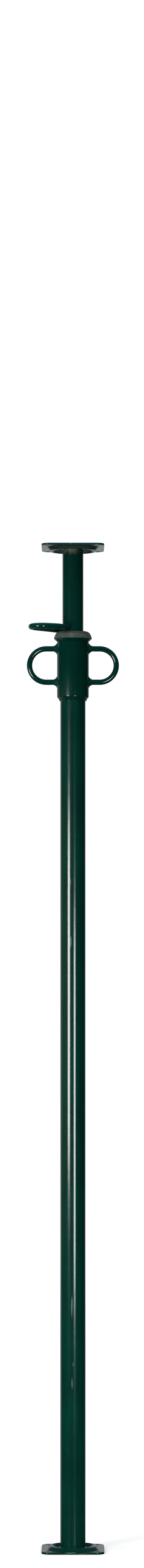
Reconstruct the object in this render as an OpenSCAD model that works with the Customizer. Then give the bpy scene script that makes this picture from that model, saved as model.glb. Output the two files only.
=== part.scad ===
// Adjustable steel prop, drawn closed: the locking pin is in the top hole of the inner tube.
// Millimetres, +Z up. The origin is the middle of the base plate's underside.
// The camera side is -Y, so the front of the prop looks along -Y and +X is its right.

/* [End plates] */
// Side of the square base and head plates
plate_side = 120; // [110:1:150]
// Thickness of the pressed sheet
plate_t = 4; // [3:0.5:6]
// Radius of the plate's corners
plate_corner_r = 15; // [6:1:20]
// Distance between the fixing holes, both ways
plate_hole_gap = 96; // [88:1:98]
// Diameter of the fixing holes
plate_hole_d = 9; // [6:0.5:11]
// Radius of the crest of the round bead that stiffens the plate
bead_r = 43; // [42:0.5:44]
// Height of the bead's crest over the flat of the plate
bead_h = 5.5; // [2:0.5:7]
// Width of the bead's outer slope
bead_out_w = 10; // [6:0.5:11]
// Width of the bead's inner slope, down to the sunk middle that the tube is welded to
bead_in_w = 13; // [8:0.5:14]

/* [Outer tube] */
// Outside diameter of the outer tube
outer_d = 48.3; // [46:0.1:52]
// Wall of the outer tube
outer_wall = 2.9; // [2.3:0.1:3]
// Distance from the outer tube's top edge up to the head plate, when the prop is closed
neck_l = 185; // [140:0.5:300]
// How far the rolled top edge narrows the bore
outer_lip = 0.7; // [0.3:0.1:0.8]
// Length of the rolled top edge
outer_lip_l = 5; // [3:0.5:10]

/* [Inner tube] */
// Outside diameter of the inner tube
inner_d = 40; // [38:0.1:41]
// Wall of the inner tube
inner_wall = 2.6; // [2:0.1:4]
// Closed height of the whole prop, floor to top of the head plate
closed_h = 1924; // [1900:1:1990]
// Length of inner tube that stays in the outer tube when the last hole is used
overlap_l = 300; // [200:10:400]
// Spacing of the pin holes
hole_pitch = 89; // [80:1:92]
// Number of pin holes
hole_count = 12; // [6:1:12]
// Turn of the hole axis to the left of the front, in degrees
hole_turn = 28; // [0:1:40]
// Height of the swaged foot of the inner tube
foot_l = 18; // [10:1:30]
// Gap between the foot and the bore of the outer tube
foot_gap = 0.3; // [0.2:0.05:0.5]

/* [Nut] */
// Outside diameter of the nut's sleeve
sleeve_d = 61; // [58.5:0.5:63]
// Wall of the sleeve
sleeve_wall = 3.5; // [3:0.1:4]
// Length of the sleeve, from its lower lip to the bearing ring
sleeve_l = 114; // [105:1:130]
// Width of the bevel round the sleeve's lower end
sleeve_bevel = 5.5; // [3:0.5:6]
// Height of the threaded ring inside the sleeve's lower end
thread_ring_l = 24; // [16:1:34]
// Running clearance of the threaded ring on the outer tube
thread_clear = 0.05; // [0.02:0.01:0.1]

/* [Nut handles] */
// Diameter of the handle bar
handle_bar_d = 10.5; // [8:0.5:13]
// Reach of each handle from the prop's axis to its outside
handle_reach = 88.5; // [80:0.5:100]
// Distance between the two legs of a handle, centre to centre
handle_leg_gap = 64; // [50:1:70]
// Distance from the sleeve's top edge down to the upper leg's centre
handle_drop = 13.5; // [12.5:0.5:20]
// Size of the weld fillet round each leg
handle_weld = 6.5; // [3:0.5:6.5]

/* [Bearing ring] */
// Largest diameter of the cast bearing ring
ring_d = 72.6; // [70:0.2:80]
// Height of the ring above the sleeve
ring_h = 19; // [15:0.5:24]
// Running clearance of the ring on the inner tube
ring_clear = 0.1; // [0.03:0.01:0.1]
// Length of the ring's spigot inside the sleeve
spigot_l = 6; // [4:0.5:8]
// Gap between the spigot and the sleeve's bore
spigot_gap = 0.3; // [0.2:0.05:0.6]

/* [Locking pin] */
// Diameter of the pin's bar
pin_d = 11; // [9:0.2:12]
// Gap round the pin in its hole
pin_gap = 0.4; // [0.3:0.05:0.8]
// Height of the pin above the bearing ring
pin_seat_gap = 0.3; // [0.2:0.05:0.5]
// How far the pin's tip stands out behind the inner tube
pin_tip_out = 11; // [7:0.5:14]
// Straight length of the pin in front of the tube's axis
pin_front = 44; // [38:1:60]
// Radius of the pin's first bend, on the bar's centre line
pin_bend1_r = 28; // [20:1:34]
// Angle of the pin's first bend, in degrees
pin_bend1 = 40; // [30:1:45]
// Straight length between the two bends
pin_side = 18.5; // [14:0.5:30]
// Radius of the pin's second bend, on the bar's centre line
pin_bend2_r = 20; // [17:0.5:24]
// Angle of the pin's second bend, in degrees
pin_bend2 = 156; // [150:1:158]
// Straight length of the arm that comes back past the tube
pin_back = 86; // [60:1:90]
// Length of the cone on the pin's two ends
pin_end_cone = 2.5; // [1:0.5:4]
// How much the bar's radius is drawn down in a bend
bend_draw = 0.03; // [0.02:0.01:0.1]
// How far the end of a bend laps into the straight bar
bend_lap = 0.5; // [0.3:0.1:0.8]

/* [Welds] */
// Leg of the weld fillet between a plate and its tube
plate_weld = 3.5; // [2:0.5:5]
// Joint line between a weld and the metal that it joins
weld_line = 0.05; // [0.02:0.01:0.1]

/* [Hidden] */
$fn = 96;

// Overrun of a cut past the face it leaves
cut = 1;
// Steps in each slope of a plate's bead
bead_steps = 8;
// Width of the coned ends of the pin, as a share of its bar
cone_share = 0.5;
// Paint green, and the grey of the bare casting
green = [0.02, 0.18, 0.14];
weld_green = [0.03, 0.22, 0.17];
casting_grey = [0.42, 0.46, 0.43];

outer_r = outer_d / 2;
outer_bore_r = outer_r - outer_wall;
inner_r = inner_d / 2;
inner_bore_r = inner_r - inner_wall;
sleeve_r = sleeve_d / 2;
sleeve_bore_r = sleeve_r - sleeve_wall;
ring_r = ring_d / 2;
pin_r = pin_d / 2;
bar_r = handle_bar_d / 2;

// The plates' sunk middles, which the tubes are welded to
base_seat_z = plate_t;
head_seat_z = closed_h - plate_t;
outer_top_z = head_seat_z - neck_l;

// The nut stands just over the outer tube, with the ring's spigot over the tube's top edge
sleeve_top_z = outer_top_z + spigot_l + spigot_gap;
sleeve_foot_z = sleeve_top_z - sleeve_l;
ring_top_z = sleeve_top_z + ring_h;
pin_z = ring_top_z + pin_seat_gap + pin_r;
handle_z = sleeve_top_z - handle_drop - handle_leg_gap / 2;

// The inner tube reaches down so far that it keeps its overlap at the last hole
inner_travel = (hole_count - 1) * hole_pitch;
inner_foot_z = outer_top_z - inner_travel - overlap_l;

// Square with round corners, on the middle of the plane
module rounded_square(side, corner_r) {
    flat = side - 2 * corner_r;
    square([side, flat], center = true);
    square([flat, side], center = true);
    for (x = [-1, 1], y = [-1, 1]) translate([x * flat / 2, y * flat / 2]) circle(r = corner_r);
}

// Height of the bead at a radius: half a cosine wave on each side of its crest
function bead_z(r) = bead_h * (1 + cos(180 * (r - bead_r) / (r < bead_r ? bead_in_w : bead_out_w))) / 2;

// Radii of the bead's steps, from its inner foot over the crest to its outer foot
function bead_radii() = concat(
    [for (i = [0 : bead_steps]) bead_r - bead_in_w * (1 - i / bead_steps)],
    [for (i = [1 : bead_steps]) bead_r + bead_out_w * i / bead_steps]);

// A pressed plate: a square sheet with a hole in each corner, whose bead stands up between the flat rim
// and the flat middle. Its underside is z = 0.
module pressed_plate() {
    lap_share = 0.1;
    bead_out_r = bead_r + bead_out_w;
    lap_r = bead_out_r + bead_out_w * lap_share;
    r = bead_radii();
    last = len(r) - 1;
    difference() {
        linear_extrude(plate_t) rounded_square(plate_side, plate_corner_r);
        translate([0, 0, -cut]) cylinder(r = bead_out_r, h = plate_t + 2 * cut);
        for (x = [-1, 1], y = [-1, 1])
            translate([x * plate_hole_gap / 2, y * plate_hole_gap / 2, -cut])
                cylinder(d = plate_hole_d, h = plate_t + 2 * cut);
    }
    rotate_extrude() polygon(concat(
        [[0, 0]], [for (i = [0 : last]) [r[i], bead_z(r[i])]], [[lap_r, 0], [lap_r, plate_t]],
        [for (i = [last : -1 : 0]) [r[i], plate_t + bead_z(r[i])]], [[0, plate_t]]));
}

// Weld fillet round the foot of a tube of radius tube_r, standing on z = 0, with a hollow face
module tube_fillet(tube_r, leg) {
    hollow_share = 0.36;
    rotate_extrude() polygon([
        [tube_r + weld_line, 0], [tube_r + leg, 0],
        [tube_r + leg * hollow_share, leg * hollow_share], [tube_r + weld_line, leg]]);
}

module base_plate() color(green) pressed_plate();

module base_weld() color(weld_green)
    translate([0, 0, base_seat_z]) tube_fillet(outer_r, plate_weld);

// Plain tube whose top edge is rolled in, so that the inner tube's foot can't leave it
module outer_tube() color(green)
    rotate_extrude() polygon([
        [outer_bore_r, base_seat_z], [outer_r, base_seat_z],
        [outer_r, outer_top_z - outer_lip], [outer_r - outer_lip, outer_top_z],
        [outer_bore_r - outer_lip, outer_top_z],
        [outer_bore_r - outer_lip, outer_top_z - outer_lip_l],
        [outer_bore_r, outer_top_z - outer_lip_l - outer_lip]]);

// The nut's thread, as a ring in the lower end of the sleeve, drawn at the crest of the tube's thread
module thread_ring() color(green)
    translate([0, 0, sleeve_foot_z]) difference() {
        cylinder(r = sleeve_bore_r - weld_line, h = thread_ring_l);
        translate([0, 0, -cut]) cylinder(r = outer_r + thread_clear, h = thread_ring_l + 2 * cut);
        lower_bevel();
    }

// Everything outside the bevel that rounds the nut's lower end, from the sleeve's foot up
module lower_bevel() difference() {
    translate([0, 0, -cut]) cylinder(r = sleeve_r + cut, h = sleeve_bevel + cut);
    cylinder(r1 = sleeve_r - sleeve_bevel, r2 = sleeve_r, h = sleeve_bevel);
}

module nut_sleeve() color(green)
    translate([0, 0, sleeve_foot_z]) difference() {
        cylinder(r = sleeve_r, h = sleeve_l);
        translate([0, 0, -cut]) cylinder(r = sleeve_bore_r, h = sleeve_l + 2 * cut);
        lower_bevel();
    }

// A D of round bar that reaches out along +X, cut to the sleeve
module handle() {
    bend_r = handle_leg_gap / 2;
    bend_x = handle_reach - bar_r - bend_r;
    difference() {
        union() {
            for (side = [-1, 1]) translate([0, 0, side * bend_r])
                rotate([0, 90, 0]) cylinder(r = bar_r, h = bend_x);
            translate([bend_x, 0, 0]) rotate([90, 0, 0]) rotate([0, 0, -90])
                rotate_extrude(angle = 180) translate([bend_r, 0]) circle(r = bar_r);
        }
        cylinder(r = sleeve_r + weld_line, h = 2 * handle_leg_gap, center = true);
    }
}

module right_handle() color(green) translate([0, 0, handle_z]) handle();

module left_handle() color(green) translate([0, 0, handle_z]) rotate([0, 0, 180]) handle();

// Weld fillet round one leg of a handle, where it meets the sleeve; side -1 is left and 1 right
module leg_weld(side, level) color(weld_green)
    translate([0, 0, handle_z + level * handle_leg_gap / 2]) rotate([0, 0, side < 0 ? 180 : 0])
        difference() {
            // The cone starts inside the sleeve's wall, so that it meets the round face all the way
            translate([sleeve_r - sleeve_wall, 0, 0]) rotate([0, 90, 0])
                cylinder(r1 = bar_r + handle_weld + sleeve_wall, r2 = bar_r + weld_line,
                    h = handle_weld + sleeve_wall);
            rotate([0, 90, 0]) cylinder(r = bar_r + weld_line, h = handle_reach);
            cylinder(r = sleeve_r + weld_line, h = handle_leg_gap, center = true);
        }

module left_upper_weld() leg_weld(-1, 1);
module left_lower_weld() leg_weld(-1, -1);
module right_upper_weld() leg_weld(1, 1);
module right_lower_weld() leg_weld(1, -1);

// Cast ring with a bevelled underside and a domed shoulder, centred in the sleeve by its spigot
module bearing_ring() color(casting_grey) {
    bore_r = inner_r + ring_clear;
    bevel = ring_r - sleeve_r;
    rim_share = 0.9;
    chamfer_share = 0.25;
    shoulder_shares = [[1, 0.37], [0.985, 0.45], [0.945, 0.66], [0.9, 0.82], [0.84, 0.93], [0.76, 1]];
    translate([0, 0, sleeve_top_z]) rotate_extrude() polygon(concat(
        [[bore_r, -spigot_l], [sleeve_bore_r - spigot_gap, -spigot_l],
            [sleeve_bore_r - spigot_gap, 0], [sleeve_r, 0], [ring_r, bevel * rim_share]],
        [for (s = shoulder_shares) [ring_r * s[0], ring_h * s[1]]],
        [[bore_r + bevel * chamfer_share, ring_h], [bore_r, ring_h - bevel * chamfer_share]]));
}

// Tube with a row of holes through both walls
module inner_tube() color(green) difference() {
    translate([0, 0, inner_foot_z]) cylinder(r = inner_r, h = head_seat_z - inner_foot_z);
    translate([0, 0, inner_foot_z - cut])
        cylinder(r = inner_bore_r, h = head_seat_z - inner_foot_z + 2 * cut);
    for (i = [0 : hole_count - 1])
        translate([0, 0, pin_z - i * hole_pitch]) rotate([90, 0, -hole_turn])
            cylinder(r = pin_r + pin_gap, h = inner_d + 2 * cut, center = true);
}

// Ring swaged round the inner tube's foot, which guides it in the outer tube
module foot_collar() color(green)
    translate([0, 0, inner_foot_z]) difference() {
        cylinder(r = outer_bore_r - foot_gap, h = foot_l);
        translate([0, 0, -cut]) cylinder(r = inner_r + weld_line, h = foot_l + 2 * cut);
    }

module head_plate() color(green)
    translate([0, 0, closed_h]) mirror([0, 0, 1]) pressed_plate();

module head_weld() color(weld_green)
    translate([0, 0, head_seat_z]) mirror([0, 0, 1]) tube_fillet(inner_r, plate_weld);

// The pin is a run of straights and bends. Each piece is drawn from where the last one ended,
// in a frame whose X goes along the bar, and the bar bends to the -Y side of it.
module bar_straight(length, start_cone = 0, end_cone = 0) rotate([0, 90, 0])
    rotate_extrude() polygon(concat(
        [[0, 0]],
        start_cone > 0 ? [[pin_r * cone_share, 0], [pin_r, start_cone]] : [[pin_r, 0]],
        end_cone > 0 ? [[pin_r, length - end_cone], [pin_r * cone_share, length]] : [[pin_r, length]],
        [[0, length]]));

// A bend draws the bar down a little, and its ends lap into the straights
module bar_bend(bend_r, angle) {
    lap_angle = bend_lap / bend_r * 180 / PI;
    translate([0, -bend_r, 0]) rotate([0, 0, 90 - angle - lap_angle])
        rotate_extrude(angle = angle + 2 * lap_angle) translate([bend_r, 0]) circle(r = pin_r - bend_draw);
}

module after_bend(bend_r, angle)
    translate([bend_r * sin(angle), -bend_r * (1 - cos(angle)), 0]) rotate([0, 0, -angle]) children();

module locking_pin() color(green) {
    tip_l = inner_r + pin_tip_out;
    translate([0, 0, pin_z]) rotate([0, 0, -90 - hole_turn]) {
        translate([-tip_l, 0, 0]) bar_straight(tip_l + pin_front, start_cone = pin_end_cone);
        translate([pin_front, 0, 0]) {
            bar_bend(pin_bend1_r, pin_bend1);
            after_bend(pin_bend1_r, pin_bend1) {
                bar_straight(pin_side);
                translate([pin_side, 0, 0]) {
                    bar_bend(pin_bend2_r, pin_bend2);
                    after_bend(pin_bend2_r, pin_bend2) bar_straight(pin_back, end_cone = pin_end_cone);
                }
            }
        }
    }
}

base_plate();
base_weld();
outer_tube();
thread_ring();
nut_sleeve();
left_handle();
right_handle();
left_upper_weld();
left_lower_weld();
right_upper_weld();
right_lower_weld();
bearing_ring();
inner_tube();
foot_collar();
head_plate();
head_weld();
locking_pin();
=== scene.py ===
# %% [markdown]
# # An adjustable steel prop
#
# A prop is a steel post whose height can be set. An inner tube slides in an outer tube and hangs on a
# pin, the pin rests on a cast ring, and a nut under the ring is turned to press the prop tight.
#
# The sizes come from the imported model, which is the frame of this scene. What shows is made again here
# with softer edges, a real thread, weld beads and paint, and each piece rides on the body it belongs to.

import math

import bmesh
import bpy
import numpy as np
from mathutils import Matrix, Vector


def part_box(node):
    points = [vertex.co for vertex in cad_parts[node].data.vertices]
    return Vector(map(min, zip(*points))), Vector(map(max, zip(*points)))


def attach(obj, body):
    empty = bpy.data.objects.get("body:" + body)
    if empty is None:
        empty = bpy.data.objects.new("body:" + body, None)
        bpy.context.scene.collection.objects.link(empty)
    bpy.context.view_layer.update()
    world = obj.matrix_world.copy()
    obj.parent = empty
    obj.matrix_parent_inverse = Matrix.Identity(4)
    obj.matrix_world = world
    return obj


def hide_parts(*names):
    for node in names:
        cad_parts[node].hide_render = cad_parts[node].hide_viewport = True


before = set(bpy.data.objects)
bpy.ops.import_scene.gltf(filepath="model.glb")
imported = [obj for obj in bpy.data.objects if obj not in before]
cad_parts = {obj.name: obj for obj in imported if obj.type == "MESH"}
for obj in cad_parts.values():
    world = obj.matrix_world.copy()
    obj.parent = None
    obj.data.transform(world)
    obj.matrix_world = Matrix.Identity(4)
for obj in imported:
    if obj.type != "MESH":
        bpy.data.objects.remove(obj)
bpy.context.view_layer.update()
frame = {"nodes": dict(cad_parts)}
nodes = frame["nodes"]

# %% [markdown]
# ## Sizes
#
# Lengths are in metres. They could all be written out, but then a change of the model would leave the
# scene behind.

# %% The sizes that the pieces share
MM = 0.001
OUTER_WALL = 2.9 * MM


def reach(node, axis, side):
    """The lowest (side 0) or highest (side 1) coordinate of a node along axis 0, 1 or 2."""
    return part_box(node)[side][axis]


def half_width(node, axis):
    """Half of a node's size along an axis: (highest - lowest) / 2."""
    return (reach(node, axis, 1) - reach(node, axis, 0)) / 2


def middle_of(node, axis):
    """The middle of a node along an axis: (lowest + highest) / 2."""
    return (reach(node, axis, 0) + reach(node, axis, 1)) / 2


outer_r, inner_r = reach("outer_tube", 0, 1), reach("inner_tube", 0, 1)
outer_bore_r = outer_r - OUTER_WALL
sleeve_r, ring_r = reach("nut_sleeve", 0, 1), reach("bearing_ring", 0, 1)
bar_r, pin_r = half_width("left_handle", 1), half_width("locking_pin", 2)

floor_z, bead_top_z = reach("base_plate", 2, 0), reach("base_plate", 2, 1)
base_seat_z, outer_top_z = reach("outer_tube", 2, 0), reach("outer_tube", 2, 1)
head_seat_z, head_top_z = reach("inner_tube", 2, 1), reach("head_plate", 2, 1)
sleeve_foot_z, sleeve_top_z = reach("nut_sleeve", 2, 0), reach("nut_sleeve", 2, 1)
ring_top_z = reach("bearing_ring", 2, 1)
handle_z, pin_z = middle_of("left_handle", 2), middle_of("locking_pin", 2)
print(f"outer tube {outer_r / MM:.2f} mm, inner tube {inner_r / MM:.2f} mm, closed height {head_top_z:.4f} m")

# %% [markdown]
# ## Making a surface
#
# A prop could be put together from cubes and cylinders with modifiers, but a thread or a pressed bead is
# hard to reach that way. So every piece here is a grid of points that numpy works out at once: the rows
# follow an outline and the columns go round it. One helper turns such a grid into a mesh. It closes the
# seams, merges the points that fall together at a pole, and turns the faces outward, which a negative
# volume gives away. It also keeps how far each face turns up, for a painted reflection of the sky on what
# faces up and a paler grey on what faces down under the head plate.

# %% From a grid of points to a finished mesh
TOUCHING, NO_LENGTH = 0.0001 * MM, 0.00001 * MM
CUBIC_CM = 0.01**3


def solid(name, grid, closed_rows=True, smooth_angle=40):
    """grid[i, j] is a point. Quad (i, j) joins it to the next row and the next column. The columns always
    close on themselves, and the rows do so where closed_rows is true."""
    grid = np.asarray(grid, float)
    rows, columns = grid.shape[:2]
    i, j = np.meshgrid(np.arange(rows if closed_rows else rows - 1), np.arange(columns), indexing="ij")
    i_next, j_next = (i + 1) % rows, (j + 1) % columns
    corners = [i * columns + j, i * columns + j_next, i_next * columns + j_next, i_next * columns + j]
    mesh = bpy.data.meshes.new(name)
    mesh.from_pydata(grid.reshape(-1, 3), [], np.stack(corners, -1).reshape(-1, 4).tolist())
    finish_mesh(mesh, smooth_angle)
    piece = bpy.data.objects.new(name, mesh)
    bpy.context.scene.collection.objects.link(piece)
    return piece


def finish_mesh(mesh, smooth_angle=40):
    """Merges points that coincide, turns the faces outward and shades smooth up to the given angle."""
    work = bmesh.new()
    work.from_mesh(mesh)
    bmesh.ops.remove_doubles(work, verts=work.verts, dist=TOUCHING)
    bmesh.ops.dissolve_degenerate(work, edges=work.edges, dist=NO_LENGTH)
    if work.calc_volume(signed=True) < 0:
        bmesh.ops.reverse_faces(work, faces=work.faces)
    volume = work.calc_volume(signed=True)
    work.to_mesh(mesh)
    work.free()
    mesh.shade_smooth()
    mesh.set_sharp_from_angle(angle=math.radians(smooth_angle))
    note_up(mesh)
    print(f"{mesh.name}: {len(mesh.polygons)} faces, {volume / CUBIC_CM:.1f} cubic centimetres")


def note_up(mesh):
    """Keeps the z part of the normal at each face corner in the attribute "up": 1 where the surface faces up
    and -1 where it faces down."""
    normals = np.empty(3 * len(mesh.loops), np.float32)
    mesh.corner_normals.foreach_get("vector", normals)
    up = mesh.attributes.get("up") or mesh.attributes.new("up", "FLOAT", "CORNER")
    up.data.foreach_set("value", normals[2::3])


print("helpers that turn a grid of points into a solid")

# %% Grids round an axis, and outlines with round corners
def full_turn(count):
    """That many angles round a full turn, in even steps."""
    return np.linspace(0, 2 * math.pi, count, endpoint=False)


def polar(r, a, z):
    """Points at radius r, angle a and height z: x = r cos a, y = r sin a. Rows run down the grid in r and z,
    and the angles run across it."""
    r, a, z = np.broadcast_arrays(r, a, z)
    return np.stack([r * np.cos(a), r * np.sin(a), z], -1)


def revolved(outline, turns=160):
    """Each outline point (r, z) goes round the axis."""
    r, z = np.asarray(outline, float).T
    return polar(r[:, None], full_turn(turns), z[:, None])


def rounded(outline, radius, steps=4, most=0.45):
    """Rounds each corner of a closed outline. Point t of a corner is (1-t)^2 a + 2t(1-t) p + t^2 b, where p
    is the corner and a and b lie on its two sides, radius away but never past the share most of a side."""
    p = np.asarray(outline, float)
    back, ahead = np.roll(p, 1, 0) - p, np.roll(p, -1, 0) - p
    back_l, ahead_l = np.linalg.norm(back, axis=1), np.linalg.norm(ahead, axis=1)
    cut = np.minimum(np.broadcast_to(radius, len(p)), most * np.minimum(back_l, ahead_l))
    a, b = p + back * (cut / back_l)[:, None], p + ahead * (cut / ahead_l)[:, None]
    t = np.linspace(0, 1, steps + 1)[None, :, None]
    return ((1 - t) ** 2 * a[:, None] + 2 * t * (1 - t) * p[:, None] + t**2 * b[:, None]).reshape(-1, 2)


print("a square with round corners has", len(rounded([(0, 0), (1, 0), (1, 1), (0, 1)], 0.2)), "points")

# %% [markdown]
# ## Shader maths
#
# A finish is worked out from numbers that change over the surface. Adding each Math node by hand hides
# what they do, so `Signal` wraps one socket, and `1 - mask` or `rust * 0.5 + grime` adds the nodes by
# itself. `Nodes.node` makes any other node: its settings come first, because they decide which sockets it
# has, and then its values or links. The world is made with it, and so is a `Finish`, which is a material.

# %% A signal
class Signal:
    """A number that changes over a surface. + - * / and ** with a number or another Signal add Math nodes."""

    def __init__(self, nodes, socket):
        self.nodes, self.socket = nodes, socket

    def maths(self, operation, a, b):
        return self.nodes.node("ShaderNodeMath", {"operation": operation}, {0: a, 1: b})

    def __add__(self, other):
        return self.maths("ADD", self, other)

    def __sub__(self, other):
        return self.maths("SUBTRACT", self, other)

    def __rsub__(self, other):
        return self.maths("SUBTRACT", other, self)

    def __mul__(self, other):
        return self.maths("MULTIPLY", self, other)

    def __truediv__(self, other):
        return self.maths("DIVIDE", self, other)

    def __pow__(self, other):
        return self.maths("POWER", self, other)

    __radd__, __rmul__ = __add__, __mul__

    def rise(self, low, high):
        """0 below low, 1 above high and smooth between them; with low over high it falls instead."""
        if low > high:
            return 1 - self.rise(high, low)
        values = {"Value": self, "From Min": low, "From Max": high}
        return self.nodes.node("ShaderNodeMapRange", {"interpolation_type": "SMOOTHSTEP"}, values, "Result")


print("a Signal knows + - * / ** and rise")

# %% Nodes of any kind
class Nodes:
    """An empty node tree, and one method that adds any node to it."""

    def __init__(self, tree):
        self.tree = tree
        tree.nodes.clear()

    def node(self, kind, settings=None, values=None, output=0):
        """Adds a node of that kind. Gives the named output as a Signal, or the node where output is None."""
        made = self.tree.nodes.new(kind)
        for key, setting in (settings or {}).items():
            setattr(made, key, setting)
        for key, value in (values or {}).items():
            socket = made.inputs[key]
            if isinstance(value, Signal):
                self.tree.links.new(value.socket, socket)
            elif isinstance(value, (tuple, list)):
                socket.default_value = (*value, 1) if len(socket.default_value) > len(value) else value
            else:
                socket.default_value = value
        return made if output is None else Signal(self, made.outputs[output])

    def parts(self, vector):
        """The three coordinates of a place or a direction."""
        made = self.node("ShaderNodeSeparateXYZ", {}, {0: vector}, None)
        return [Signal(self, made.outputs[k]) for k in range(3)]

    def seen_by(self, *kinds):
        """1 for rays of the given kinds, such as Camera or Glossy, and 0 for the others."""
        made = self.node("ShaderNodeLightPath", {}, {}, None)
        return sum(Signal(self, made.outputs[f"Is {kind} Ray"]) for kind in kinds)

    def mix(self, mask, below, above):
        """The colour below where mask is 0 and the colour above where it is 1."""
        return self.node("ShaderNodeMix", {"data_type": "RGBA"}, {0: mask, 6: below, 7: above}, 2)


print("Nodes adds a node of any kind with one call")

# %% A finish, and screen colours in linear light
class Finish(Nodes):
    """A material on Object coordinates."""

    def __init__(self, name):
        self.material = bpy.data.materials.new(name)
        self.material.use_nodes = True
        super().__init__(self.material.node_tree)
        self.place = self.node("ShaderNodeTexCoord", {}, {}, "Object")
        self.x, self.y, self.z = self.parts(self.place)

    def from_axis(self):
        """The distance from the prop's axis: sqrt(x^2 + y^2)."""
        return (self.x * self.x + self.y * self.y) ** 0.5

    def facing_up(self):
        """The piece's attribute "up", 1 on what faces up and -1 on what faces down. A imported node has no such
        attribute, and gives 0."""
        return self.node("ShaderNodeAttribute", {"attribute_name": "up"}, {}, "Fac")

    def stretched(self, x=1, y=1, z=1):
        """The place on the object with each axis multiplied, which squeezes or stretches a pattern."""
        values = {"Vector": self.place, "Scale": (x, y, z)}
        return self.node("ShaderNodeMapping", {"vector_type": "POINT"}, values)

    def noise(self, scale, detail=3, roughness=0.55, at=None):
        """Cloudy noise between 0 and 1; scale is about the number of clouds in a metre."""
        values = {"Vector": at or self.place, "Scale": scale, "Detail": detail, "Roughness": roughness}
        return self.node("ShaderNodeTexNoise", {"noise_dimensions": "3D"}, values, "Fac")

    def bump(self, height, distance, strength=1.0, on=None):
        """A normal that leans as if the surface rose by height * distance, added to the normal on."""
        values = {"Height": height, "Distance": distance, "Strength": strength}
        if on is not None:
            values["Normal"] = on
        return self.node("ShaderNodeBump", {}, values, "Normal")

    def spot(self, x, z, wide, tall):
        """1 in the middle of an upright ellipse on the front of the object, fading to 0 at its outline."""
        u, v = (self.x - x) / wide, (self.z - z) / tall
        return (u * u + v * v).rise(1.0, 0.15) * self.y.rise(0.0, -5 * MM)

    def finished(self, shader):
        """Ends the material in a shader."""
        self.node("ShaderNodeOutputMaterial", {}, {"Surface": shader}, None)
        return self.material

    def surface(self, **values):
        """Ends the material in a Principled shader; a socket's name is written with _ for its spaces."""
        values = {key.replace("_", " "): value for key, value in values.items()}
        return self.finished(self.node("ShaderNodeBsdfPrincipled", {}, values, "BSDF"))


def linear(red, green, blue):
    """An 8-bit screen colour as the linear colour that a shader takes: c / 12.92 for the darkest values, and
    ((c + 0.055) / 1.055) ^ 2.4 for the others."""
    c = np.array([red, green, blue]) / 255
    return tuple(float(v) for v in np.where(c <= 0.04045, c / 12.92, ((c + 0.055) / 1.055) ** 2.4))


print("a mid green on screen is", [round(v, 4) for v in linear(4, 46, 38)], "in linear light")

# %% [markdown]
# ## The green paint
#
# Props are dipped or sprayed with one thick coat of dark green enamel. It pulls itself nearly flat but
# keeps a faint orange peel, runs a little down the tube, and gets dusty and scuffed. One colour with one
# gloss would look like plastic. So the colour drifts slowly between two greens, fine streaks run along
# the tube, scuffs show a paler grey green, and the gloss changes with them.

# %% Colours of the paint, and how fine its patterns are, in clouds to a metre
PAINT, PAINT_DEEP, PAINT_CHALK = linear(0, 47, 38), linear(0, 38, 31), linear(44, 74, 66)
# Painted reflection: the pale blue of a sky, laid on what faces up.
PAINTED_SKY_SHEEN = linear(24, 88, 102)
DRIFT, CLOUDS, WAVES, RUNS, SPECKS, PEEL, SCRATCHES = 9, 55, 60, 160, 420, 700, 900
PEEL_DEEP, WAVES_DEEP = 0.004 * MM, 0.12 * MM
ALONG, EVEN = (1, 1, 0.08), (1, 1, 1)
print("the paint's red, green and blue in linear light:", [round(v, 4) for v in PAINT])

# %% Enamel
def enamel(name, streak=ALONG, scuffs=0.5, gloss=0.12, painted_shade_tone=1.0, sky_sheen=0.0, extra=()):
    """Green enamel. Streak squeezes the noise along the tube into streaks, or leaves it even, and scuffs is
    how much of it shows. Gloss is the least roughness, painted_shade_tone darkens the paint as painted
    shade, and sky_sheen is how much painted reflection of a pale blue sky lies on what faces up. Each of
    extra, called with the finish, its colour and its roughness, lays scorch, smudges, bare metal or a
    painted highlight over the paint."""
    f = Finish(name)
    streaked, cloud = f.stretched(*streak), f.noise(CLOUDS, 4)
    # A darker copy of both greens, as painted shade.
    deep, full = (tuple(painted_shade_tone * v for v in paint) for paint in (PAINT_DEEP, PAINT))
    drift = f.noise(DRIFT, 2) * 0.6 + f.noise(RUNS, 3, at=streaked) * 0.4
    colour = f.mix(drift.rise(0.35, 0.65), deep, full)
    rub = f.noise(SCRATCHES, 2, at=streaked).rise(0.66, 0.78) * cloud.rise(0.55, 0.7) * scuffs
    dust = f.noise(SPECKS, 3).rise(0.55, 0.85) * cloud.rise(0.4, 0.8) * 0.05
    colour = f.mix(rub + dust, colour, PAINT_CHALK)
    roughness = gloss + cloud * 0.05 + rub * 0.3 + dust
    if sky_sheen:
        # Painted reflection of a pale blue sky on what faces up.
        colour = f.mix(f.facing_up().rise(0.4, 0.9) * sky_sheen, colour, PAINTED_SKY_SHEEN)
    for layer in extra:
        colour, roughness = layer(f, colour, roughness)
    wavy = f.bump(f.noise(WAVES, 2), WAVES_DEEP, 0.5)
    normal = f.bump(f.noise(PEEL, 2), PEEL_DEEP, on=wavy)
    return f.surface(Base_Color=colour, Roughness=roughness, Normal=normal, IOR=1.5)


print("a helper for enamel, with room for layers over it")

# %% [markdown]
# ## What lies over the paint
#
# The weld under the head plate burnt the paint round it, and the plate's upper edge carries a painted sky
# reflection. The tube was rubbed in places, the base plate's front edge carries a painted highlight, and
# the nut wears the paint off the thread's crests. These could be pieces of their own, but a layer over the
# enamel keeps the enamel's grain and needs no extra surface. Each layer is a function that takes a finish
# with its colour and roughness so far, and gives both back with the layer laid over them.

# %% The burnt head, and a painted sky reflection on its plate's edge
SCORCH, PALE_UNDERSIDE = linear(64, 62, 53), linear(92, 100, 98)
RUST, CHIPPED = linear(139, 84, 44), linear(190, 198, 192)
RAGGED = 16 * MM
RUST_SPOT = (11 * MM, head_seat_z - 6 * MM, 5 * MM, 7 * MM)
CHIP_SPOT = (-4.9 * MM, head_top_z - 1.6 * MM, 0.9 * MM, 2.2 * MM)


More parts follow.
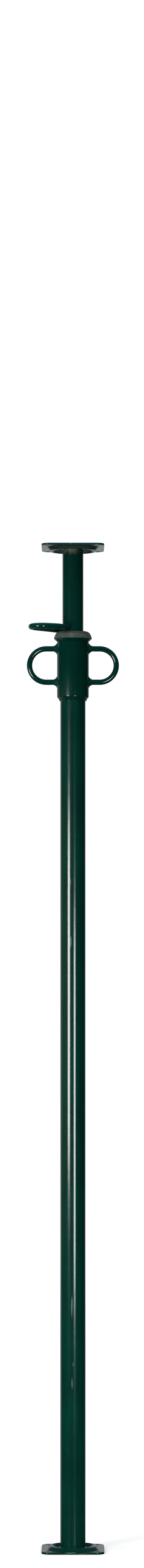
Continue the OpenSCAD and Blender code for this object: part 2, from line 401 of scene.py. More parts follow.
def scorched_head(f, colour, roughness):
    """Round the head weld the paint was burnt: brown grey and rough on the left of the tube, with some rust,
    and faded out on its right, which stays dark as painted shade. What faces down under the plate is paler
    grey, most in its sunk middle. The plate's upper edge carries a line of painted reflection of a pale
    blue sky, with a chip in it."""
    radius, up = f.from_axis(), f.facing_up()
    ragged = f.noise(120, 4, at=f.stretched(1, 1, 0.3)) * RAGGED
    on_tube = radius.rise(inner_r + 3 * MM, inner_r + 1 * MM)
    near_weld = (f.z + ragged).rise(head_seat_z - 6 * MM, head_seat_z + 6 * MM)
    below_seat = f.z.rise(head_seat_z + 1 * MM, head_seat_z)
    # The burn fades out on the right of the tube, so that side keeps the dark green as painted shade.
    left_part = f.x.rise(14 * MM, 5 * MM)
    burn = on_tube * near_weld * f.noise(300, 3).rise(0.25, 0.5) * left_part * below_seat
    sunk_middle = (radius + ragged * 0.4).rise(inner_r + 24 * MM, inner_r + 12 * MM)
    # Paler grey on what faces down under the plate, most in its sunk middle.
    paler_below = (sunk_middle * 0.5 + 0.1) * (1 - on_tube) * up.rise(0.3, -0.3)
    colour = f.mix(paler_below, f.mix(burn * 0.9, colour, SCORCH), PALE_UNDERSIDE)
    # Painted reflection: a line of pale blue sky along the plate's upper edge.
    edge = up.rise(0.95, 0.7) * f.z.rise(head_top_z - 2.4 * MM, head_top_z - 0.8 * MM)
    colour = f.mix(edge * f.spot(*CHIP_SPOT) * 0.6, f.mix(edge * 0.7, colour, PAINTED_SKY_SHEEN), CHIPPED)
    rust = f.noise(520, 2).rise(0.6, 0.7) * on_tube * (f.spot(*RUST_SPOT) + burn * 0.25)
    return f.mix(rust * 0.6, colour, RUST), roughness + burn * 0.4 + paler_below * 0.15


print("rust", np.round(np.array(RUST_SPOT) / MM, 1).tolist(), "mm: x, z, half width and half height")

# %% Smudges, a painted highlight on an edge and worn crests
# The colours of the smudges and of bare crests, and the yellow-green of a painted highlight.
SMUDGED, EDGE_HIGHLIGHT, BARE = linear(72, 102, 96), linear(96, 122, 88), linear(120, 116, 104)
SMUDGES_MM = ((-2, 468, 2.2, 26), (0.5, 358, 1.2, 6), (-1.5, 322, 1.8, 12), (-4, 1166, 1.6, 14),
              (-5, 1280, 1.4, 9))
# Where the painted highlight lies on the base plate's front edge: x, z, half width and half height.
EDGE_HIGHLIGHT_SPOT = (-4 * MM, base_seat_z - 0.6 * MM, 13 * MM, 1.7 * MM)


def smudged(f, colour, roughness):
    """Dull pale smudges on the front of the tube, where something rubbed it, each with upright hairlines."""
    hairlines = f.noise(900, 3, at=f.stretched(1, 1, 0.04)).rise(0.3, 0.65) * 0.8
    smudge = hairlines * sum(f.spot(*(v * MM for v in spot)) for spot in SMUDGES_MM)
    return f.mix(smudge, colour, SMUDGED), roughness + smudge * 0.3


def painted_edge_highlight(f, colour, roughness):
    """A yellow-green painted highlight on the middle of the base plate's front edge."""
    on_edge = f.y.rise(-57.5 * MM, -58.5 * MM)
    # Painted highlight: a yellow-green streak on the middle of the front edge.
    return f.mix(f.spot(*EDGE_HIGHLIGHT_SPOT) * on_edge * f.noise(500, 3) * 0.75, colour, EDGE_HIGHLIGHT), roughness


def worn_thread(f, colour, roughness):
    """Bare greasy steel on the crests of the thread, where the distance from the axis is largest."""
    on_thread = f.z.rise(sleeve_foot_z + 3 * MM, sleeve_foot_z + 6 * MM)
    crest = f.from_axis().rise(outer_r - 0.5 * MM, outer_r - 0.15 * MM)
    worn = crest * on_thread * f.noise(150, 3).rise(0.3, 0.55)
    return f.mix(worn, colour, BARE), roughness + worn * 0.15


print(len(SMUDGES_MM), "smudges on the tube")

# %% The kinds of enamel
# Each kind but the threaded tube's is a darker copy of the same green, as painted shade: most for the plates
# and the nut, and a little for the head and the bars.
head_paint = enamel("scorched enamel", painted_shade_tone=0.88, extra=(scorched_head,))
plate_paint = enamel("plate enamel", streak=EVEN, scuffs=0.8, gloss=0.15, painted_shade_tone=0.7, extra=(painted_edge_highlight,))
nut_paint = enamel("nut enamel", scuffs=0.6, gloss=0.09, painted_shade_tone=0.76)
bar_paint = enamel("bar enamel", streak=EVEN, scuffs=0.4, gloss=0.09, painted_shade_tone=0.9, sky_sheen=0.45)
threaded_paint = enamel("threaded tube enamel", extra=(worn_thread, smudged))
print("kinds of enamel:", [m.name for m in bpy.data.materials if "enamel" in m.name])

# %% [markdown]
# ## The casting, the welds and the hidden foot
#
# The bearing ring is an unpainted iron casting: grey with a green cast from handling, mottled and grainy,
# with painted shade that darkens its shoulder towards the top. The welds are painted over, but they are
# lumpy and some scale shows through.
# The inner tube's foot, hidden in the outer tube, is greasy steel. Each is built from a few noises like the
# enamel, because a coarse and a fine noise together look like cast or welded metal, and one alone doesn't.

# %% Finishes without enamel
IRON_DARK, IRON, IRON_PALE = linear(48, 58, 53), linear(78, 89, 84), linear(126, 133, 124)
IRON_PIT, IRON_RUST, RING_TOP_SHADE = linear(26, 35, 32), linear(86, 68, 58), linear(34, 46, 20)
WELD_PALE, SCALE = linear(10, 58, 48), linear(120, 104, 74)
STEEL_DARK, STEEL_PALE = linear(70, 66, 58), linear(122, 118, 108)


def casting():
    """Grey-green iron: mottles, a fine grain with pits, patches of rust, painted shade that darkens
    the shoulder towards the top, and paint from the nut on the bevel underneath."""
    f = Finish("raw casting")
    mottle, grain = f.noise(240, 4, 0.65), f.noise(1100, 3, 0.7)
    colour = f.mix(mottle.rise(0.3, 0.7), IRON_DARK, IRON)
    colour = f.mix(grain.rise(0.5, 0.75) * 0.5, colour, IRON_PALE)
    colour = f.mix(grain.rise(0.45, 0.3) * 0.5, colour, IRON_PIT)
    colour = f.mix(f.noise(70, 3).rise(0.58, 0.7) * 0.5, colour, IRON_RUST)
    # Painted shade: the shoulder turns darker towards the top of the ring.
    colour = f.mix(f.z.rise(ring_top_z - 8 * MM, ring_top_z - 1 * MM) * 0.6, colour, RING_TOP_SHADE)
    painted = f.z.rise(sleeve_top_z + 5.4 * MM, sleeve_top_z + 4.2 * MM)
    colour = f.mix(painted, colour, PAINT_DEEP)
    normal = f.bump((grain * 0.6 + mottle * 0.5) * (1 - painted), 0.5 * MM, 0.7)
    roughness = (0.6 + grain * 0.3) * (1 - painted * 0.8)
    return f.surface(Base_Color=colour, Roughness=roughness, Normal=normal, Metallic=0.15,
                     Specular_IOR_Level=0.3)


def weld_paint():
    """Painted weld metal, deeper green in its valleys, with beige scale where the paint didn't hold."""
    f = Finish("painted weld")
    lumps, scale = f.noise(260, 3), f.noise(330, 3).rise(0.66, 0.74)
    colour = f.mix(scale * 0.2, f.mix(lumps.rise(0.35, 0.7), PAINT_DEEP, WELD_PALE), SCALE)
    normal = f.bump(lumps * 0.7 + f.noise(1200, 2) * 0.1, 0.06 * MM, 0.5)
    return f.surface(Base_Color=colour, Roughness=0.1 + scale * 0.3, Normal=normal)


def bare_steel():
    """Dark greasy steel for what is hidden at the inner tube's foot."""
    f = Finish("greasy steel")
    film = f.noise(140, 4)
    normal = f.bump(f.noise(1500, 2), 0.2 * MM, 0.5)
    colour = f.mix(film.rise(0.4, 0.7), STEEL_DARK, STEEL_PALE)
    return f.surface(Base_Color=colour, Metallic=0.85, Roughness=0.3 + film * 0.3, Normal=normal)


cast_iron, weld_metal, steel = casting(), weld_paint(), bare_steel()
print("materials:", len(bpy.data.materials))

# %% [markdown]
# ## The end plates
#
# Each plate is pressed from one 4 mm sheet: a square with round corners, a round bead that stiffens it, and
# a sunk middle that the tube is welded to. A flat plate with a raised disc on it would look like two
# pieces. So its skin is made as rings: the bead's crest is a circle, its inner foot is a circle too, and
# its outer foot spreads to a round-cornered square, as the press leaves it. The rings run over the top,
# round the edge and back underneath, so the sheet is one closed skin. Four holes are cut after.

# %% Sizes of a plate, and the outline of a square with round corners
PLATE_SIDE, CORNER_R, EDGE_R = reach("base_plate", 0, 1) * 2, 15 * MM, 1.5 * MM
PLATE_T, BEAD_H = base_seat_z - floor_z, bead_top_z - base_seat_z
BEAD_R, BEAD_IN_R = 43 * MM, 30 * MM
BEAD_FOOT_SIDE, BEAD_FOOT_CORNER = 104 * MM, 30 * MM


def square_reach(angle, side, corner_r):
    """Distance from the middle to a square's outline with round corners. Folded into the first eighth, it is
    half / cos a on the flat, and past the flat's end c it is q + sqrt(q^2 - 2c^2 + R^2), with R the corner's
    radius and q = c cos a + c sin a."""
    a = np.abs((angle + math.pi / 4) % (math.pi / 2) - math.pi / 4)
    half, c = side / 2, side / 2 - corner_r
    q = c * np.cos(a) + c * np.sin(a)
    in_corner = q + np.sqrt(np.maximum(q**2 - 2 * c**2 + corner_r**2, 0))
    return np.where(half * np.tan(a) <= c, half / np.cos(a), in_corner)


print("half a plate's diagonal:", round(float(square_reach(math.pi / 4, PLATE_SIDE, CORNER_R)) / MM, 1), "mm")

# %% The skin of a plate
def plate_grid(turns=240):
    """Rows of the plate's skin, from the middle of the top over the edge to the middle of the underside. A
    slope of the bead is half a cosine wave: z = height * (1 + cos(pi t)) / 2, with t from crest to foot. Each
    zone gives the shares of its width that it starts and ends at, and its number of rows."""
    a = full_turn(turns)
    foot = square_reach(a, BEAD_FOOT_SIDE, BEAD_FOOT_CORNER)
    flat = square_reach(a, PLATE_SIDE, CORNER_R) - EDGE_R
    zones = ((0, 0.9, 4), (1, 0, 15), (0.07, 1, 14), (0.15, 1, 7))
    middle, up, down, rim = (np.linspace(low, high, rows)[:, None] for low, high, rows in zones)
    r = np.concatenate([BEAD_IN_R * middle + 0 * a, BEAD_R - (BEAD_R - BEAD_IN_R) * up + 0 * a,
                        BEAD_R + (foot - BEAD_R) * down, foot + (flat - foot) * rim])
    away = np.concatenate([1 + 0 * middle, up, down, 1 + 0 * rim])[:, 0]
    rise = BEAD_H * (1 + np.cos(math.pi * away)) / 2
    around = np.linspace(0, math.pi / 2, 6)[1:]
    edge_r = flat + EDGE_R * np.sin(around)[:, None]
    edge_z = PLATE_T - EDGE_R * (1 - np.cos(around))
    r = np.concatenate([r, edge_r, edge_r[::-1], r[::-1]])
    z = np.concatenate([PLATE_T + rise, edge_z, PLATE_T - edge_z[::-1], rise[::-1]])
    return polar(r, a, z[:, None])


print("the skin has", plate_grid().shape[0], "rings of", plate_grid().shape[1], "points")

# %% Holes through a plate
HOLE_GAP, HOLE_R = 96 * MM, 4.5 * MM
DRILL_IN, DRILL_OUT = 10 * MM, 2 * MM


def drills(name, places, radius, low, high, sides=48):
    """One mesh of upright cylinders that cut holes. Each is a grid of two rings that ends in two poles."""
    r, z = np.array([0, radius, radius, 0]), np.array([low, low, high, high])
    one = polar(r[:, None], full_turn(sides), z[:, None])
    parts = [solid(f"{name}_{k}", one + np.array([*place, 0]), closed_rows=False)
             for k, place in enumerate(places)]
    work = bmesh.new()
    for part in parts:
        work.from_mesh(part.data)
        bpy.data.objects.remove(part)
    cutter = bpy.data.objects.new(name, bpy.data.meshes.new(name))
    work.to_mesh(cutter.data)
    work.free()
    bpy.context.scene.collection.objects.link(cutter)
    return cutter


def cut(piece, cutter):
    """Takes the cutter's shape out of the piece and applies the result to the piece's mesh."""
    tool = piece.modifiers.new("holes", "BOOLEAN")
    tool.operation, tool.solver, tool.object = "DIFFERENCE", "EXACT", cutter
    result = bpy.data.meshes.new_from_object(piece.evaluated_get(bpy.context.evaluated_depsgraph_get()))
    piece.modifiers.clear()
    piece.data = result
    bpy.data.objects.remove(cutter)
    finish_mesh(result)


print("holes of", 2 * HOLE_R / MM, "mm,", HOLE_GAP / MM, "mm apart")

# %% Dressing a piece, and the two plates
def dress(piece, material, body, slot, *replaced):
    """Gives a piece its material and its body, and hides the CAD nodes that it stands for.
    The slot is not used.
    """
    piece.data.materials.append(material)
    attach(piece, body)
    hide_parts(*replaced)


def pressed_plate(name, flipped):
    """The plate with its bead up, or turned over to hang from the head of the prop."""
    grid = plate_grid()
    if flipped:
        grid[..., 2] = head_top_z - grid[..., 2]
    plate = solid(name, grid, closed_rows=False)
    half = HOLE_GAP / 2
    places = [(x, y) for x in (-half, half) for y in (-half, half)]
    low, high = (head_top_z - DRILL_IN, head_top_z + DRILL_OUT) if flipped else (-DRILL_OUT, DRILL_IN)
    cut(plate, drills(name + "_holes", places, HOLE_R, low, high))
    return plate


dress(pressed_plate("pressed_base_plate", False), plate_paint, "outer", "plate_paint", "base_plate")
dress(pressed_plate("pressed_head_plate", True), head_paint, "inner", "plate_paint", "head_plate")

# %% [markdown]
# ## The outer tube and its thread
#
# The thread is rolled into the upper end of the tube, a shallow groove that climbs 8 mm a turn. Carving it
# with a helical cutter is slow and leaves slivers. Instead the radius of each point of the tube depends on
# its height and its angle, so one grid gives tube, thread and run-out. The phase
# (z - lead * angle / turn) / lead makes the groove climb to the right, as a right-hand thread does. The top
# edge is rolled in, which keeps the inner tube from coming out.

# %% One skin for the tube, its thread and its bore
THREAD_LEAD, THREAD_DEPTH = 8 * MM, 1.1 * MM
LIP, LIP_TALL, EDGE_ROUND = 0.7 * MM, 5 * MM, 0.8 * MM
PLAIN_ROWS, ROWS_A_TURN, BORE_ROWS, LEFT_OUT = 24, 12, 12, 3


def outer_tube_grid(turns=120):
    """Rows up the outside, over the rolled edge and down the bore, with r = outer_r - depth * fade * groove.
    The groove is 0.5 - 0.9 cos(2 pi phase) kept between 0 and 1, and fade is 1 on the thread and 0 on the
    rest. The rounding's first and last points are left out, where its outline would close."""
    plain = np.linspace(base_seat_z, sleeve_foot_z - 4 * MM, PLAIN_ROWS)
    threaded = np.arange(sleeve_foot_z, outer_top_z - 6 * MM, THREAD_LEAD / ROWS_A_TURN)
    bore = np.linspace(outer_top_z - 20 * MM, base_seat_z, BORE_ROWS)
    lip_r, lip_foot_z = outer_bore_r - LIP, outer_top_z - LIP_TALL
    edge = rounded([(outer_r, outer_top_z - 4 * MM), (outer_r, outer_top_z), (lip_r, outer_top_z),
                    (lip_r, lip_foot_z), (outer_bore_r, lip_foot_z - LIP)], EDGE_ROUND)
    edge_r, edge_z = edge[LEFT_OUT:-LEFT_OUT].T
    z = np.concatenate([plain, threaded, edge_z, bore])
    skin_r = np.concatenate([0 * plain + outer_r, 0 * threaded + outer_r, edge_r, 0 * bore + outer_bore_r])
    a = full_turn(turns)
    phase = (z[:, None] - THREAD_LEAD * a / (2 * math.pi)) / THREAD_LEAD
    groove = np.clip(0.5 - 0.9 * np.cos(2 * math.pi * phase), 0, 1)
    run_in = np.clip((z - sleeve_foot_z - 2 * MM) / (8 * MM), 0, 1)
    run_out = np.clip((outer_top_z - 8 * MM - z) / (6 * MM), 0, 1)
    outside = skin_r > outer_r - TOUCHING
    fade = run_in * run_out * outside
    return polar(skin_r[:, None] - THREAD_DEPTH * fade[:, None] * groove, a, z[:, None])


tube = solid("threaded_outer_tube", outer_tube_grid(), smooth_angle=50)
dress(tube, threaded_paint, "outer", "tube_paint", "outer_tube")

# %% [markdown]
# ## The inner tube
#
# The inner tube's holes are drilled through both walls, and their sharp edges are what the eye looks for.
# A copy with softer edges would gain nothing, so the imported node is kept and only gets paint, scorched
# near the head plate. The nut's thread ring and the inner tube's foot are kept too, since they hardly show.

# %% Paint for the nodes that stay
def repaint(node, material):
    """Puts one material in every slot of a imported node."""
    mesh = nodes[node].data
    mesh.materials.clear()
    mesh.materials.append(material)


kept = {"inner_tube": head_paint, "thread_ring": nut_paint, "foot_collar": steel}
for node, material in kept.items():
    repaint(node, material)
print("kept nodes:", list(kept))

# %% [markdown]
# ## The nut and the bearing ring
#
# The nut is a long sleeve with a threaded ring in its lower end, which is turned to a round bevel. The
# cast ring that it lifts has a domed shoulder, a bevelled underside and a spigot that drops into the
# sleeve. Both could be cylinders with bevels, but an outline that goes round the axis gives each corner
# its own rounding: small where it was turned, and large where it was cast.

# %% The sleeve
SLEEVE_WALL, BEVEL, BEVEL_SHOULDER = 3.5 * MM, 5.5 * MM, 1.6 * MM
SLEEVE_ROUNDS = np.array([0.3, 0.8, 1.6, 0.6, 0.5]) * MM
sleeve_bore_r, bevel_top_z = sleeve_r - SLEEVE_WALL, sleeve_foot_z + BEVEL
sleeve_outline = rounded(
    [(sleeve_bore_r, bevel_top_z - SLEEVE_WALL), (sleeve_r - BEVEL_SHOULDER, bevel_top_z - BEVEL_SHOULDER),
     (sleeve_r, bevel_top_z), (sleeve_r, sleeve_top_z), (sleeve_bore_r, sleeve_top_z)], SLEEVE_ROUNDS)
sleeve = solid("nut_sleeve_skin", revolved(sleeve_outline), smooth_angle=60)
dress(sleeve, nut_paint, "nut", "nut_paint", "nut_sleeve")

# %% The ring
RING_CLEARANCE, SPIGOT_CLEARANCE, RING_ROUND = 0.1 * MM, 0.3 * MM, 0.9 * MM
BEVEL_RISE, MOUTH_SHARE = 0.9, 0.25
SHOULDER = [(1, 0.37), (0.985, 0.45), (0.945, 0.66), (0.9, 0.82), (0.84, 0.93), (0.76, 1)]
ring_bore_r, spigot_r = inner_r + RING_CLEARANCE, sleeve_bore_r - SPIGOT_CLEARANCE
ring_h, ring_bevel = ring_top_z - sleeve_top_z, ring_r - sleeve_r
spigot_foot_z, mouth_bevel = reach("bearing_ring", 2, 0), MOUTH_SHARE * ring_bevel
ring_outline = rounded(
    [(ring_bore_r, spigot_foot_z), (spigot_r, spigot_foot_z), (spigot_r, sleeve_top_z),
     (sleeve_r, sleeve_top_z), (ring_r, sleeve_top_z + BEVEL_RISE * ring_bevel)]
    + [(ring_r * r, sleeve_top_z + ring_h * h) for r, h in SHOULDER]
    + [(ring_bore_r + mouth_bevel, ring_top_z), (ring_bore_r, ring_top_z - mouth_bevel)], RING_ROUND)
ring = solid("cast_bearing_ring", revolved(ring_outline), smooth_angle=60)
dress(ring, cast_iron, "ring", "grey_casting", "bearing_ring")

# %% [markdown]
# ## Bent bars
#
# The handles and the locking pin are bent cold from round bar. A bend keeps the bar's thickness, so a
# circle carried along the bar's middle line gives the shape. A curve object with a bevel could do it, but
# its tilt and its ends are harder to hold. The line is written the way a bender works: so much straight,
# then a bend of a radius and an angle. It lies in one plane, so the plane's normal and the line's own
# direction give the circle its place at every step.

# %% A bent line
def bent_line(start, heading, moves, step=1.2 * MM):
    """Points (u, v) of a line. A move (length,) goes straight on, and (radius, angle) turns left by angle in
    degrees, or right where it is negative, about a centre radius away at the side of the turn."""
    point, heading, pieces = np.array(start, float), math.radians(heading), []
    for move in moves:
        if len(move) == 1:
            s = np.linspace(0, move[0], max(2, int(move[0] / (4 * step))) + 1)
            pieces.append(point + s[:, None] * [math.cos(heading), math.sin(heading)])
        else:
            radius, turn = move[0], math.radians(move[1])
            side = math.copysign(1, turn)
            centre = point + radius * side * np.array([-math.sin(heading), math.cos(heading)])
            h = heading + np.linspace(0, turn, max(6, int(abs(turn) * radius / step)) + 1)
            pieces.append(centre + radius * side * np.stack([np.sin(h), -np.cos(h)], -1))
            heading += turn
        point = pieces[-1][-1]
    return np.concatenate([pieces[0]] + [p[1:] for p in pieces[1:]])


example = bent_line((0, 0), 0, [(10 * MM,), (5 * MM, 180)])
print("10 mm straight and a half turn of 5 mm radius end at", (example[-1] / MM).round(1), "mm")

# %% A circle carried along a path
CAP_ALONG = np.array([0, 0, 0.12, 0.35, 0.75, 1.0])
CAP_OUT = np.array([0, 0.45, 0.62, 0.8, 0.96, 1.0])


def bar(name, path, normal, radius, end_cone, sides=40):
    """A round bar along a path that lies in one plane: point = path + r (cos a * side + sin a * normal), with
    side = normal x direction. At both ends r grows from 0 over the length end_cone to the full radius, and
    these rows take the place of the path's last two points."""
    along = np.gradient(path, axis=0)
    along /= np.linalg.norm(along, axis=1)[:, None]
    cap_s, cap_r, cap_rows = CAP_ALONG * end_cone, CAP_OUT * radius, len(CAP_OUT)
    path = np.concatenate([path[0] + cap_s[:, None] * along[0], path[2:-2],
                           path[-1] - cap_s[::-1, None] * along[-1]])
    along = np.concatenate([np.repeat(along[:1], cap_rows, 0), along[2:-2],
                            np.repeat(along[-1:], cap_rows, 0)])
    r = np.concatenate([cap_r, np.full(len(path) - 2 * cap_rows, radius), cap_r[::-1]])
    normal = np.array(normal, float)
    side = np.cross(normal, along)
    a = full_turn(sides)[None, :, None]
    grid = path[:, None] + r[:, None, None] * (np.cos(a) * side[:, None] + np.sin(a) * normal)
    return solid(name, grid, closed_rows=False, smooth_angle=50)


print("a bar's rounded end has", len(CAP_OUT), "rows")

# %% Two handles
LEG_GAP, LEG_SUNK, LEG_CONE = 64 * MM, 1.5 * MM, 0.3 * MM
bend_r, leg_start = LEG_GAP / 2, sleeve_r - LEG_SUNK
leg_l = reach("right_handle", 0, 1) - bar_r - bend_r - leg_start
handle_u, handle_v = bent_line((leg_start, -bend_r), 0, [(leg_l,), (bend_r, 180), (leg_l,)]).T
for side, name in ((-1, "left"), (1, "right")):
    path = np.stack([side * handle_u, 0 * handle_u, handle_z + handle_v], -1)
    handle = bar(f"{name}_bent_handle", path, (0, 1, 0), bar_r, LEG_CONE)
    dress(handle, bar_paint, "nut", "handle_paint", f"{name}_handle")

# %% [markdown]
# ## The locking pin
#
# The pin goes through the inner tube's top hole and is bent round the tube's left side, so that a hand can
# pull it and it can't get lost. The tube's holes don't run straight from front to back but are turned a
# little. From its tip the bar runs through the tube and out at the front, bends to the right of its course,
# and then turns back in a wide loop that ends at the tube's side.

# %% The pin
HOLE_TURN, TIP_OUT = 28, 11 * MM
PIN_SLACK, PIN_CONE = 0.04 * MM, 2.5 * MM
tip_l = inner_r + TIP_OUT
pin_heading = -90 - HOLE_TURN
pull = np.array([math.cos(math.radians(pin_heading)), math.sin(math.radians(pin_heading))])
PIN_MOVES = [(tip_l + 44 * MM,), (28 * MM, -40), (18.5 * MM,), (20 * MM, -156), (86 * MM,)]
pin_u, pin_v = bent_line(-tip_l * pull, pin_heading, PIN_MOVES).T
pin = bar("bent_locking_pin", np.stack([pin_u, pin_v, 0 * pin_u + pin_z], -1), (0, 0, 1), pin_r - PIN_SLACK,
          PIN_CONE, sides=48)
dress(pin, bar_paint, "pin", "pin_paint", "locking_pin")

# %% [markdown]
# ## Weld beads
#
# A weld cools in small crescent ripples, one for each pause of the welder's hand. A bump alone would leave
# its outline smooth, so the ripples are in the shape: a bead is a closed outline carried round the joint,
# and its size goes up and down a little as it goes. The plate welds lie in a flat corner. The handle welds
# lie on the round sleeve, so each of their points starts from the sleeve's surface, x = sqrt(R^2 - y^2).

# %% Beads in the flat corners of the plates
PLATE_SKEW, LEG_SKEW = 2.2, 1.8


def ripple(angle, count, share, skew):
    """1 + share * (|sin(count a / 2 + skew)| - 0.6), which has wide crests and narrow valleys, and a slow
    uneven wave of 0.6 share * sin(3a + 1.3) cos(5a). A skew that grows up the bead bends the ripples into
    crescents."""
    wave = np.abs(np.sin(0.5 * count * angle + skew))
    return 1 + share * (wave - 0.6) + 0.6 * share * np.sin(3 * angle + 1.3) * np.cos(5 * angle)


def plate_bead(name, tube_r, seat_z, up, leg, count, share):
    """The bead's outline in (out, up) shares of its leg, bulging a little, times the ripple at each angle. Up
    is 1 or -1, count is the number of ripples and share is their depth as a part of the leg."""
    shares = np.array([(-0.15, -0.12), (0.95, -0.08), (1, 0.04), (0.82, 0.3), (0.6, 0.55), (0.34, 0.8),
                       (0.06, 1), (-0.1, 0.96)])
    a = full_turn(360)
    scale = leg * ripple(a[None, :], count, share, PLATE_SKEW * shares[:, 1:])
    r = tube_r + np.maximum(shares[:, :1], -0.1) * scale
    return solid(name, polar(r, a, seat_z + up * shares[:, 1:] * scale), smooth_angle=80)


BASE_LEG, HEAD_LEG = 3.6 * MM, 2.6 * MM
base_bead = plate_bead("base_weld_bead", outer_r, base_seat_z, 1, BASE_LEG, count=44, share=0.06)
dress(base_bead, weld_metal, "outer", "weld_paint", "base_weld")
head_bead = plate_bead("head_weld_bead", inner_r, head_seat_z, -1, HEAD_LEG, count=38, share=0.03)
dress(head_bead, weld_metal, "inner", "weld_paint", "head_weld")

# %% Beads round the handles' legs
def leg_bead(name, side, level, leg=6.6 * MM, count=16, share=0.03):
    """A hollow flare in (out from the bar, out from the sleeve) shares of the leg, times the ripple at each
    angle, and then set on the sleeve's round surface."""
    shares = np.array([(-0.12, -0.1), (0.9, -0.12), (1, 0), (0.68, 0.14), (0.42, 0.32), (0.22, 0.56),
                       (0.09, 0.8), (0.01, 1), (-0.06, 0.98), (-0.14, 0.8)])
    a = full_turn(192)
    scale = leg * ripple(a[None, :], count, share, LEG_SKEW * shares[:, 1:])
    out = bar_r + shares[:, :1] * scale
    y, z = out * np.cos(a), out * np.sin(a)
    x = np.sqrt(np.maximum(sleeve_r**2 - y**2, 0)) + shares[:, 1:] * scale
    return solid(name, np.stack([side * x, y, handle_z + level * LEG_GAP / 2 + z], -1), smooth_angle=80)


for side, name in ((-1, "left"), (1, "right")):
    for level, height in ((1, "upper"), (-1, "lower")):
        bead = leg_bead(f"{name}_{height}_bead", side, level)
        dress(bead, weld_metal, "nut", "weld_paint", f"{name}_{height}_weld")

# %% [markdown]
# ## Floor and background
#
# The prop stands on a pale floor in a white studio. White walls all round would turn dark glossy paint
# milky, so a studio hangs black cloth in front of such a thing and leaves it pale behind, which gives each
# tube a dark front and a pale outline. Light Path does the same here: the camera sees white, and rays
# that come off the prop see the room that suits dark paint.

# %% Colours of the studio
WHITE = (1, 1, 1)
FLOOR, FLOOR_FAR = (0.86, 0.84, 0.82), (0.14, 0.14, 0.14)
ROOM, ROOM_ABOVE = (0.14, 0.15, 0.16), (0.9, 0.9, 0.9)
MIRRORED_BACK, MIRRORED_FRONT = (0.48, 0.5, 0.53), (0.004, 0.005, 0.006)
MIRRORED_ABOVE, MIRRORED_HAZE = (0.04, 0.06, 0.075), (0.17, 0.18, 0.17)
LEFT_LINE, RIGHT_LINE = -37.4, 15.6
GLINTS = ((LEFT_LINE, 0.25), (RIGHT_LINE, 0.8))


def behind(x, y):
    """1 for what lies straight behind the prop, 0 for its sides and front, and a little more on the left."""
    return (y - x * 0.15).rise(0.45, 1.0)


print("the two bright lamps stand", LEFT_LINE, "and", RIGHT_LINE, "degrees from the front")

# %% Floor
def studio_floor():
    """Pale and dull near the prop, where it keeps the soft shadow, and turning further out to the white of
    the background for the camera and to a dim grey for scattered rays. Mirrored rays see it dark, with two
    glints near the prop below the bright lamps, pale behind, but for a dark wedge close behind the prop,
    and hazy far off on the left."""
    f = Finish("pale floor")
    far = f.from_axis()
    x, y = f.x / far, f.y / far
    wedge = (x * x).rise(0.4, 0.1) * far.rise(9, 4)
    mirrored = f.mix(x.rise(0.1, -0.3) * far.rise(4, 20), MIRRORED_FRONT, MIRRORED_HAZE)
    mirrored = f.mix(behind(x, y) * (1 - wedge), mirrored, MIRRORED_BACK)
    for azimuth, light in GLINTS:
        a = math.radians(azimuth)
        aside = x * math.cos(a) + y * math.sin(a)
        glint = (aside * aside).rise(0.02, 0.0) * far.rise(1.0, 0.1) * f.y.rise(0.0, -20 * MM)
        mirrored = f.mix(glint, mirrored, (light, light, light))
    glossy, scattered = f.seen_by("Glossy"), f.seen_by("Diffuse")
    colour = f.mix(scattered, f.mix(glossy, WHITE, mirrored), FLOOR_FAR)
    seen = f.seen_by("Camera", "Transmission") * far.rise(0.15, 1.1)
    dull = f.node("ShaderNodeBsdfDiffuse", {}, {"Color": FLOOR}, "BSDF")
    glow = f.node("ShaderNodeEmission", {}, {"Color": colour, "Strength": 1.0}, "Emission")
    share = seen + glossy + scattered * far.rise(0.3, 1.2)
    return f.finished(f.node("ShaderNodeMixShader", {}, {0: share, 1: dull, 2: glow}, "Shader"))


FLOOR_SIZE, FLOOR_GAP = 60, 0.2 * MM
bpy.ops.mesh.primitive_plane_add(size=FLOOR_SIZE, location=(0, 0, floor_z - FLOOR_GAP))
floor = bpy.context.object
floor.name = "studio_floor"
floor.data.materials.append(studio_floor())
print("floor", tuple(floor.dimensions))

# %% World
def studio_world():
    """White for the camera. Mirrored rays see a pale room behind the prop, a dark one in front of it and a
    blue one overhead, with a haze low on the left. All other rays see a dim room with a pale ceiling."""
    world = bpy.data.worlds.new("studio")
    world.use_nodes = True
    w = Nodes(world.node_tree)
    x, y, z = w.parts(w.node("ShaderNodeTexCoord", {}, {}, "Generated"))
    mirrored = w.mix(x.rise(0.1, -0.3) * z.rise(0.08, 0.02), MIRRORED_FRONT, MIRRORED_HAZE)
    mirrored = w.mix(behind(x, y), mirrored, MIRRORED_BACK)
    mirrored = w.mix(z.rise(0.17, 0.42), mirrored, MIRRORED_ABOVE)
    colour = w.mix(w.seen_by("Glossy"), w.mix(z.rise(0.45, 0.75), ROOM, ROOM_ABOVE), mirrored)
    colour = w.mix(w.seen_by("Camera", "Transmission"), colour, WHITE)
    sky = w.node("ShaderNodeBackground", {}, {"Color": colour, "Strength": 1.0}, "Background")
    w.node("ShaderNodeOutputWorld", {}, {"Surface": sky}, None)
    return world


bpy.context.scene.world = studio_world()
print("world", bpy.context.scene.world.name)

# %% [markdown]
# ## Lamps
#
# A round tube mirrors a lamp as a thin line, which stands about halfway between the lamp and the camera as
# seen from the tube. So two upright lamps in front draw the two bright lines on the outer tube, and their
# height and length say where a line starts and ends. Three soft lamps on the left, behind and above fill in.
# They are hidden from mirrored rays, because they would draw lines of their own.

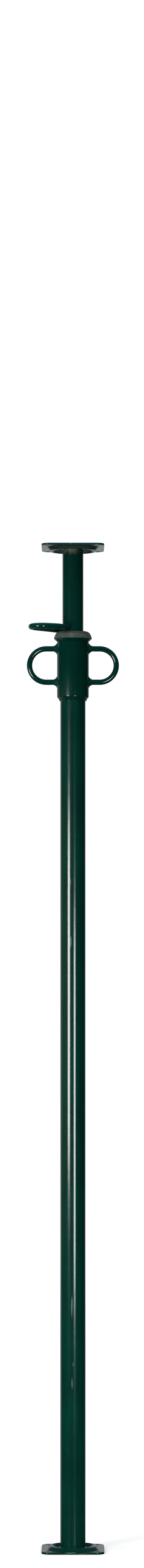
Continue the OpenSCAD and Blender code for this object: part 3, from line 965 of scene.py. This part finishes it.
# %% Lamps
def lamp(name, azimuth, distance, height, width, tall, radiance, colour=WHITE, mirrored=True):
    """A flat lamp at an azimuth from the front, positive to the right, facing the prop's axis, or down where
    its distance is 0. Its power is radiance * pi * area."""
    a = math.radians(azimuth)
    data = bpy.data.lights.new(name, "AREA")
    data.shape, data.size, data.size_y = "RECTANGLE", width, tall
    data.energy, data.color = radiance * math.pi * width * tall, colour
    made = bpy.data.objects.new(name, data)
    bpy.context.scene.collection.objects.link(made)
    made.location = (distance * math.sin(a), -distance * math.cos(a), height)
    made.rotation_euler = (math.pi / 2 if distance else 0, 0, a)
    if not mirrored:
        made.visible_glossy = made.visible_camera = False
    return made


WARM, COOL, SKY = (1.0, 0.99, 0.95), (0.93, 0.98, 1.0), (0.8, 0.92, 1.0)
lamps = [
    lamp("left line", LEFT_LINE, distance=3.0, height=1.09, width=1.0, tall=0.94, radiance=19, colour=WARM),
    lamp("right line", RIGHT_LINE, distance=3.0, height=0.78, width=0.7, tall=1.0, radiance=19, colour=COOL),
    lamp("soft left", -72, distance=3.2, height=1.6, width=1.6, tall=2.6, radiance=2.6, mirrored=False),
    lamp("soft back", 165, distance=3.4, height=1.6, width=1.6, tall=2.6, radiance=2.4, mirrored=False),
    lamp("soft top", 0, distance=0, height=4.2, width=2.4, tall=2.4, radiance=3.2, mirrored=False,
         colour=SKY)]
print("lamps:", {made.name: f"{made.data.energy:.0f} W" for made in lamps})

# %% [markdown]
# ## Camera
#
# The photograph is tall and narrow and was taken from about 7 m away at 1 m height, with the camera held
# level. A tilted camera would make the tubes lean together, so the lens is shifted up instead, as an
# architect's is, until the foot is in the frame and there is room to draw the prop out. The film's height
# sets the view. Its width isn't used in this view: it sets how far back the other views stand.

# %% Camera held level, with a shifted lens
PIXELS_TALL, FOCAL_PIXELS = 2576, 6042
HORIZON_ROW, MIDDLE_ROW, AXIS_ASIDE = 1670, 1288, 1.5
FILM_TALL = 24.0
FILM_WIDE = 6.9 * FILM_TALL
CAMERA_BACK, CAMERA_UP = 7.05, 1.023
cam_data = bpy.data.cameras.new("camera")
cam_data.sensor_fit = "VERTICAL"
cam_data.sensor_height, cam_data.sensor_width = FILM_TALL, FILM_WIDE
cam_data.lens = FILM_TALL * FOCAL_PIXELS / PIXELS_TALL
cam_data.shift_x = -AXIS_ASIDE / PIXELS_TALL
cam_data.shift_y = (HORIZON_ROW - MIDDLE_ROW) / PIXELS_TALL
camera = bpy.data.objects.new("camera", cam_data)
bpy.context.scene.collection.objects.link(camera)
camera.location = (0, -CAMERA_BACK, CAMERA_UP)
camera.rotation_euler = (math.pi / 2, 0, 0)
bpy.context.scene.camera = camera
bpy.context.scene.view_settings.view_transform = "Standard"
print(f"lens {cam_data.lens:.2f} mm on a film {FILM_TALL:.0f} mm tall")
